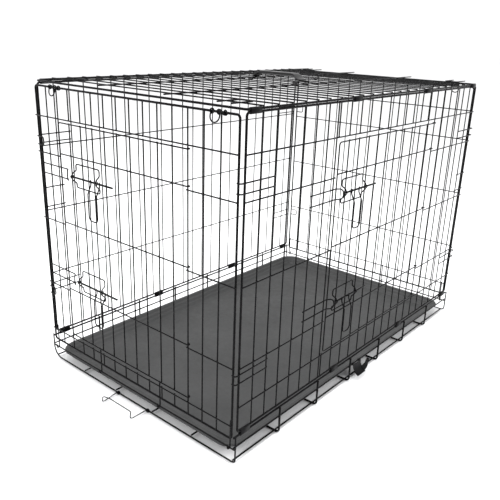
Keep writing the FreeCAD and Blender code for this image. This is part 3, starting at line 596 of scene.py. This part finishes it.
def door(prefix, panel, hinge, free, low, high, inner, body, along):
    side = 1.0 if hinge > free else -1.0
    wires = Wires(prefix + "_outline")
    border = [panel(hinge, DOOR_BORDER, high), panel(free, DOOR_BORDER, high),
              panel(free, DOOR_BORDER, low), panel(hinge, DOOR_BORDER, low)]
    path = list(reversed(curl_end(panel, hinge, side, high, DOOR_BORDER)))
    path += rounded(border, 6.0)
    path += curl_end(panel, hinge, side, low, DOOR_BORDER)
    wires.run(path, BORDER)
    wires.finish(body, [prefix + "_border"], wire_coat)
    wires = Wires(prefix + "_bars")
    verticals(wires, panel, inner, low - BAR, high + BAR, DOOR_UPRIGHT)
    for s in inner:
        for z in (low, high):
            wires.weld(panel(s, DOOR_ROW - BAR, z), along, Z)
    wires.finish(body, [prefix + "_uprights"], wire_coat)
    wires = Wires(prefix + "_crossbars")
    for z in PANEL_ROWS:
        z += 6.0
        wires.run([panel(free, DOOR_ROW, z), panel((free + hinge) / 2, DOOR_ROW, z),
                   panel(hinge, DOOR_ROW, z)] + curl_end(panel, hinge, side, z, DOOR_ROW), BAR)
        for s in inner:
            wires.weld(panel(s, DOOR_ROW - BAR, z), along, Z)
    wires.finish(body, [prefix + "_rows"], wire_coat)


LEFT_HINGE, LEFT_FREE = end_bar(3), 490.5
door("front_door", near, FRONT_HINGE, FRONT_FREE, 127.0, 563.0,
     [side_bar(i) for i in range(8, 18)], "front_door", X)
door("left_door", left, LEFT_HINGE, LEFT_FREE, 93.0, 566.0,
     [end_bar(i) for i in range(4, 13)], "left_door", Y)


def bolt_set(prefix, panel, stile, side, eyes, legs, tongue, rod_ends, tip, fixed_body):
    """Guides on the door, keepers on the panel and the sliding bolts."""

    def at(distance, out, z):
        return panel(stile + side * distance, out, z)

    along = (at(1, 0, 0) - at(0, 0, 0)).normalized()
    guides = Wires(prefix + "_bolt_guides")
    keepers = Wires(prefix + "_bolt_keepers")
    tip_out = BOLT_OUT + 2.0 + 0.45 + BAR
    for tag, level in BOLT_LEVELS.items():
        for sign, peak in ((1, level + 26.0), (-1, level - 22.0)):
            waist, knee, step = level + sign * 4.4, level + sign * 6.0, level + sign * 13.0
            guides.bent([at(eyes[0], BOLT_OUT, waist), at(eyes[0], BOLT_OUT, knee),
                         at(legs[0], BEHIND, step), at(legs[0], BEHIND, peak),
                         at(legs[1], BEHIND, peak), at(legs[1], BEHIND, step),
                         at(eyes[1], BOLT_OUT, knee), at(eyes[1], BOLT_OUT, waist)], 4.5, GUIDE)
        for eye in eyes:
            centre = at(eye, BOLT_OUT, level) - along * 0.15
            guides.run(coil(centre, along, centre + Z * 3.35, 1.0, 0.3), 1.0)
        top, low = level + 10.5, level - 10.5
        keepers.bent([at(-76, KEEPER, top), at(tip - 13, KEEPER, top), at(tip, tip_out, top),
                      at(tip, tip_out, low), at(tip - 13, KEEPER, low), at(-76, KEEPER, low)], 8.5)
        bolt = Wires("%s_slide_%s" % (prefix, tag), 16)
        start, stop = at(rod_ends[0], BOLT_OUT, level), at(rod_ends[1], BOLT_OUT, level)
        bolt.run([start, start.lerp(stop, 0.3), start.lerp(stop, 0.7), stop], 2.0)
        stations = ((5.5, TONGUE_OUT), (-5.0, TONGUE_OUT), (-21.0, GRIP_OUT), (-75.0, GRIP_OUT))
        path = [at(tongue[0], out, level + h) for h, out in stations]
        path += [at(tongue[1], out, level + h) for h, out in reversed(stations)]
        bolt.bent(path, 9.0)
        for s in tongue:
            bolt.weld(at(s, BOLT_OUT + 2.0, level), along, Z, 1.7)
        bolt.finish("%s_bolt_%s" % (prefix, tag), ["%s_bolt_%s" % (prefix, tag)], rail_coat)
    guides.finish(prefix + "_door", [prefix + "_door_guides"], wire_coat)
    keepers.finish(fixed_body, [fixed_body + "_keepers"], wire_coat)


first_bay = side_bar(8) - FRONT_FREE
bolt_set("front", near, FRONT_FREE, 1, (first_bay - 2.6, first_bay + 2 * PITCH - 2.6),
         (29.2, 106.3), (52.0, 79.0), (26.0, 150.0), 20.5, "near_side")
bolt_set("left", left, LEFT_FREE, -1, (38.5, 118.0),
         (44.2, 120.0), (105.0, 132.5), (33.6, 168.0), 28.0, "left_end")


# ------------------------------------------------------------------ end panels
def end_panel(prefix, panel, whole, stubs):
    corners = [panel(END_INSET, 0, END_LOW), panel(WIDTH - END_INSET, 0, END_LOW),
               panel(WIDTH - END_INSET, 0, END_TOP), panel(END_INSET, 0, END_TOP)]
    wires = Wires(prefix + "_outline", 16)
    wires.bent(corners, 6.0, RAIL, closed=True)
    wires.finish(prefix, [prefix + "_frame"], rail_coat)
    low, high = END_LOW + RAIL * 0.6, END_TOP - RAIL * 0.6
    start, stop = END_INSET - RAIL, WIDTH - END_INSET + RAIL
    wires = Wires(prefix + "_bars")
    full = [end_bar(i) for i in whole]
    short = [end_bar(i) for i in stubs]
    verticals(wires, panel, full, low, high)
    wires.finish(prefix, [prefix + "_uprights"], wire_coat)
    if stubs:
        wires = Wires(prefix + "_short_bars")
        verticals(wires, panel, short, LINTEL - BAR, high)
        verticals(wires, panel, short, low, 82.0 + BAR)
        wires.finish(prefix, [prefix + "_stubs"], wire_coat)
    wires = Wires(prefix + "_crossbars")
    levels(wires, panel, (LINTEL, 82.0), start, stop, full + short, along=Y)
    if stubs:
        levels(wires, panel, PANEL_ROWS, start, LEFT_HINGE + BAR, full, along=Y)
        levels(wires, panel, PANEL_ROWS, end_bar(stubs[-1] + 1) - BAR, stop, full, along=Y)
    else:
        levels(wires, panel, PANEL_ROWS, start, stop, full, along=Y)
    wires.finish(prefix, [prefix + "_rows"], wire_coat)
    wires = Wires(prefix + "_floor_hooks")
    for s in (17.0, 208.0, 400.0, 563.0):
        top, turn = panel(s, -ROW, 88.0), panel(s, -ROW, END_PIVOT)
        centre = panel(s, 0, END_PIVOT)
        axis = (turn - centre).cross(-Z).normalized()
        tail = panel(s, ROW, END_PIVOT + 6.0)
        wires.run([top, top.lerp(turn, 0.5), turn] + arc(turn, centre, axis, 180.0) + [tail], BAR)
    wires.finish(prefix, [prefix + "_hinge_loops"], wire_coat)
    wires = Wires(prefix + "_side_hooks")
    for top, low in ((529.0, 512.0), (188.0, 171.0)):
        wires.bent([panel(570.4, ROW, top), panel(549, ROW, top),
                    panel(549, ROW, low), panel(570.4, ROW, low)], 5.0)
    wires.finish(prefix, [prefix + "_corner_loops"], wire_coat)
    top_latch(prefix, "near", panel, 41.0, 52.0, 72.0)
    top_latch(prefix, "far", panel, 486.0, 498.0, 518.0)


def top_latch(prefix, tag, panel, small, first, last):
    """Ring hanging from the end's top rail between two coils, linked to a third small coil."""
    wire, turn = 1.2, RAIL + 0.3 + 1.2
    lean = math.radians(12.0)
    outward = (panel(0, 1, 0) - panel(0, 0, 0)).normalized()

    def hang(s, reach):
        return panel(s, reach * math.sin(lean), END_TOP - reach * math.cos(lean))

    wires = Wires("%s_top_latch_%s" % (prefix, tag))
    middle, reach = (first + last) / 2, (last - first) / 2
    left_coil = coil(panel(first, 0, END_TOP), Y, hang(first, turn), 1.5, 2.4)
    right_coil = coil(panel(last, 0, END_TOP), -Y, hang(last, turn), 1.5, 2.4)
    bow = []
    for k in range(17):
        angle = math.pi * k / 16
        bow.append(hang(middle - reach * math.cos(angle), 7.0 + reach * math.sin(angle)))
    wires.run(list(reversed(left_coil)) + bow + right_coil, wire)
    arm = outward * turn
    tail = coil(panel(small + 2.4, 0, END_TOP), -Y, panel(small + 2.4, 0, END_TOP) + arm, 1.5, 2.4)
    wires.run([panel(first - 0.6, 0, END_TOP) + arm] + tail, wire)
    wires.finish("%s_latch_%s" % (prefix, tag), ["%s_latch_%s" % (prefix, tag)], wire_coat)


end_panel("left_end", left, (1, 2, 3, 13, 14), tuple(range(4, 13)))
end_panel("right_end", right, tuple(range(1, 15)), ())


# ------------------------------------------------------------------ pan
def pan_mesh():
    """Shallow tray: rolled lip, stepped rim and a nearly flat floor, as one closed shell."""
    top = [(16.0, 9.0), (13.6, 10.6), (11.0, 14.0), (8.0, 19.0), (5.5, 22.6), (2.6, 24.2), (0.8, 24.8),
           (0.1, 25.6), (0.3, 26.5), (1.4, 27.0), (8.5, 27.0), (10.2, 26.6), (11.4, 25.0), (12.6, 23.4),
           (14.0, 22.8), (20.0, 22.6), (21.6, 22.0), (23.0, 19.6), (24.6, 17.4), (26.2, 16.8), (29.6, 16.6),
           (31.0, 15.8), (33.0, 12.8), (35.2, 11.4), (39.0, 11.0), (60.0, 11.0)]
    under = [(60.0, 8.6), (26.0, 8.4), (19.0, 8.5)]
    profile = top + under
    verts = []
    rings = []
    half_x, half_y = LENGTH / 2, 278.0
    for inset, z in profile:
        radius = max(44.0 - inset, 6.0)
        a, b = half_x - inset - radius, half_y - inset - radius
        ring = []
        for quarter, (sx, sy) in enumerate(((1, 1), (-1, 1), (-1, -1), (1, -1))):
            for k in range(13):
                angle = math.pi / 2 * (quarter + k / 12)
                ring.append(len(verts))
                across, deep = radius * math.cos(angle), radius * math.sin(angle)
                verts.append(Vector((sx * a + across, sy * b + deep, z)))
        rings.append(ring)
    faces = []
    for here, there in zip(rings, rings[1:] + rings[:1]):
        if here is rings[len(top) - 1]:
            continue
        for k in range(len(here)):
            m = (k + 1) % len(here)
            faces.append((here[k], here[m], there[m], there[k]))
    faces.append(tuple(rings[len(top) - 1]))
    faces.append(tuple(reversed(rings[len(top)])))
    mesh = bpy.data.meshes.new("floor_pan")
    mesh.from_pydata([v * 0.001 for v in verts], [], faces)
    clean(mesh)
    return mesh


place("floor_pan", pan_mesh(), "pan", ["pan"], pan_plastic)

# ------------------------------------------------------------------ pan stop
wires = Wires("pan_stop_wire")
stop_ring, level = HINGE + 0.15 + 1.1, 4.1
start = local(-stop_ring, 342, level)
stop = local(-stop_ring, 246, level)
far_coil = coil(local(0, 342, level), -Y, start, 2.5, 2.2)
near_coil = coil(local(0, 246, level), -Y, stop, 2.5, 2.2)
bar_path = rounded([start, local(-47, 334, level), local(-33, 351, level + 1.4),
                    local(-29, 331, level + 2.5),
                    local(-29, 262, level + 2.5), local(-46, 244, level + 1.4), stop], 3.0)
wires.run(list(reversed(far_coil)) + bar_path[1:-1] + near_coil, 1.05)
wires.finish("pan_stop", ["pan_stop"], wire_coat)


# ------------------------------------------------------------------ handle
def loft(name, sections):
    """Skin closed sections of equal count, with rounded caps."""
    verts = [v * 0.001 for section in sections for v in section]
    count = len(sections[0])
    faces = []
    for i in range(len(sections) - 1):
        for k in range(count):
            m = (k + 1) % count
            faces.append((i * count + k, i * count + m, (i + 1) * count + m, (i + 1) * count + k))
    faces.append(tuple(reversed(range(count))))
    faces.append(tuple(range((len(sections) - 1) * count, len(sections) * count)))
    mesh = bpy.data.meshes.new(name)
    mesh.from_pydata(verts, [], faces)
    clean(mesh)
    return mesh


def handle_section(y, low, high, half, power):
    """Rounded section of the handle across X at one station along Y."""
    middle, tall = ROOF + ROW + BAR + (low + high) / 2, (high - low) / 2
    points = []
    for k in range(28):
        angle = 2 * math.pi * k / 28
        c, s = math.cos(angle), math.sin(angle)
        x = math.copysign(abs(c) ** power, c) * half
        z = math.copysign(abs(s) ** power, s) * tall
        points.append(local(handle_x + x, handle_y + y, middle + z))
    return points


handle_x, handle_y = side_bar(12.5), 311.0
# Each station: distance from the middle, underside and top above the roof wires, half width.
stations = [(72.9, 4.1, 5.3, 9.0), (72.4, 3.4, 5.9, 10.8), (70.0, 3.15, 6.5, 12.2), (66.0, 3.15, 7.3, 12.8),
            (62.0, 3.9, 9.7, 12.9), (58.0, 6.7, 12.7, 12.7), (53.5, 10.3, 16.3, 12.2),
            (49.0, 10.9, 17.8, 11.6),
            (42.0, 11.0, 18.15, 11.0), (30.0, 11.0, 18.2, 10.6), (12.0, 11.0, 18.2, 10.4)]
sections = [handle_section(-y, low, high, half, 0.42) for y, low, high, half in stations]
sections += [handle_section(y, low, high, half, 0.42) for y, low, high, half in reversed(stations)]
place("roof_handle", loft("roof_handle", sections), "roof", ["handle_grip"], handle_plastic)


def foot_sections(y):
    """Pad that rests on two roof wires, with a lip hooked down outside each."""
    outline = [(-24, -3.3), (-21.3, -3.3), (-21.3, 0.2), (21.3, 0.2), (21.3, -3.3), (24, -3.3), (24, 1.6),
               (22.6, 2.85), (-22.6, 2.85), (-24, 1.6)]
    wire_top = ROOF + ROW + BAR
    return [[local(handle_x + x * grow, y + depth, wire_top + z) for x, z in outline]
            for depth, grow in ((-7.0, 0.985), (-6.4, 1.0), (6.4, 1.0), (7.0, 0.985))]


for tag, y in (("near", handle_y - 66.0), ("far", handle_y + 66.0)):
    place("handle_foot_" + tag, loft("handle_foot_" + tag, foot_sections(y)), "roof", ["handle_feet"],
          handle_plastic)

# ------------------------------------------------------------------ catch keeps the CAD shape
for piece in bpy.data.objects:
    if piece.type == "MESH" and piece.name.startswith("catch"):
        for entry in piece.material_slots:
            entry.material = clip_coat

# ------------------------------------------------------------------ studio
floor_material, _, floor_shader = principled("studio_floor")
floor_shader.inputs["Base Color"].default_value = (0.88, 0.88, 0.89, 1.0)
floor_shader.inputs["Roughness"].default_value = 0.55
bpy.ops.mesh.primitive_plane_add(size=60.0, location=(0, 0, -0.0005))
floor = bpy.context.object
floor.name = "studio_floor"
floor.data.materials.append(floor_material)

world = bpy.data.worlds.new("studio")
bpy.context.scene.world = world
world.use_nodes = True
world.node_tree.nodes["Background"].inputs["Color"].default_value = (1.0, 1.0, 1.0, 1.0)
world.node_tree.nodes["Background"].inputs["Strength"].default_value = 1.16
bpy.context.scene.view_settings.view_transform = "Standard"


def area_light(name, location, target, size, energy):
    light = bpy.data.lights.new(name, "AREA")
    light.shape = "RECTANGLE"
    light.size, light.size_y = size
    light.energy = energy
    lamp = bpy.data.objects.new(name, light)
    bpy.context.scene.collection.objects.link(lamp)
    lamp.location = location
    lamp.rotation_euler = (Vector(target) - Vector(location)).to_track_quat("-Z", "Y").to_euler()


area_light("top_light", (-0.3, 0.3, 3.0), (0, 0, 0.0), (2.6, 2.0), 90.0)
area_light("key_light", (0.6, -2.8, 2.4), (0, 0, 0.3), (1.2, 1.2), 40.0)
area_light("fill_light", (-2.8, 0.6, 1.9), (0, 0, 0.3), (1.2, 1.2), 30.0)

camera_data = bpy.data.cameras.new("camera")
camera = bpy.data.objects.new("camera", camera_data)
bpy.context.scene.collection.objects.link(camera)
camera_data.sensor_width = 36.0
camera_data.lens = 43.83
camera.location = (-1.1527, -0.8857, 0.7518)
look = Vector((0.7232, 0.6015, -0.3394))
up = Vector((0.2380, 0.2442, 0.9401))
side = look.cross(up).normalized()
up = side.cross(look).normalized()
camera.rotation_euler = Matrix((side, up, -look)).transposed().to_euler()
bpy.context.scene.camera = camera
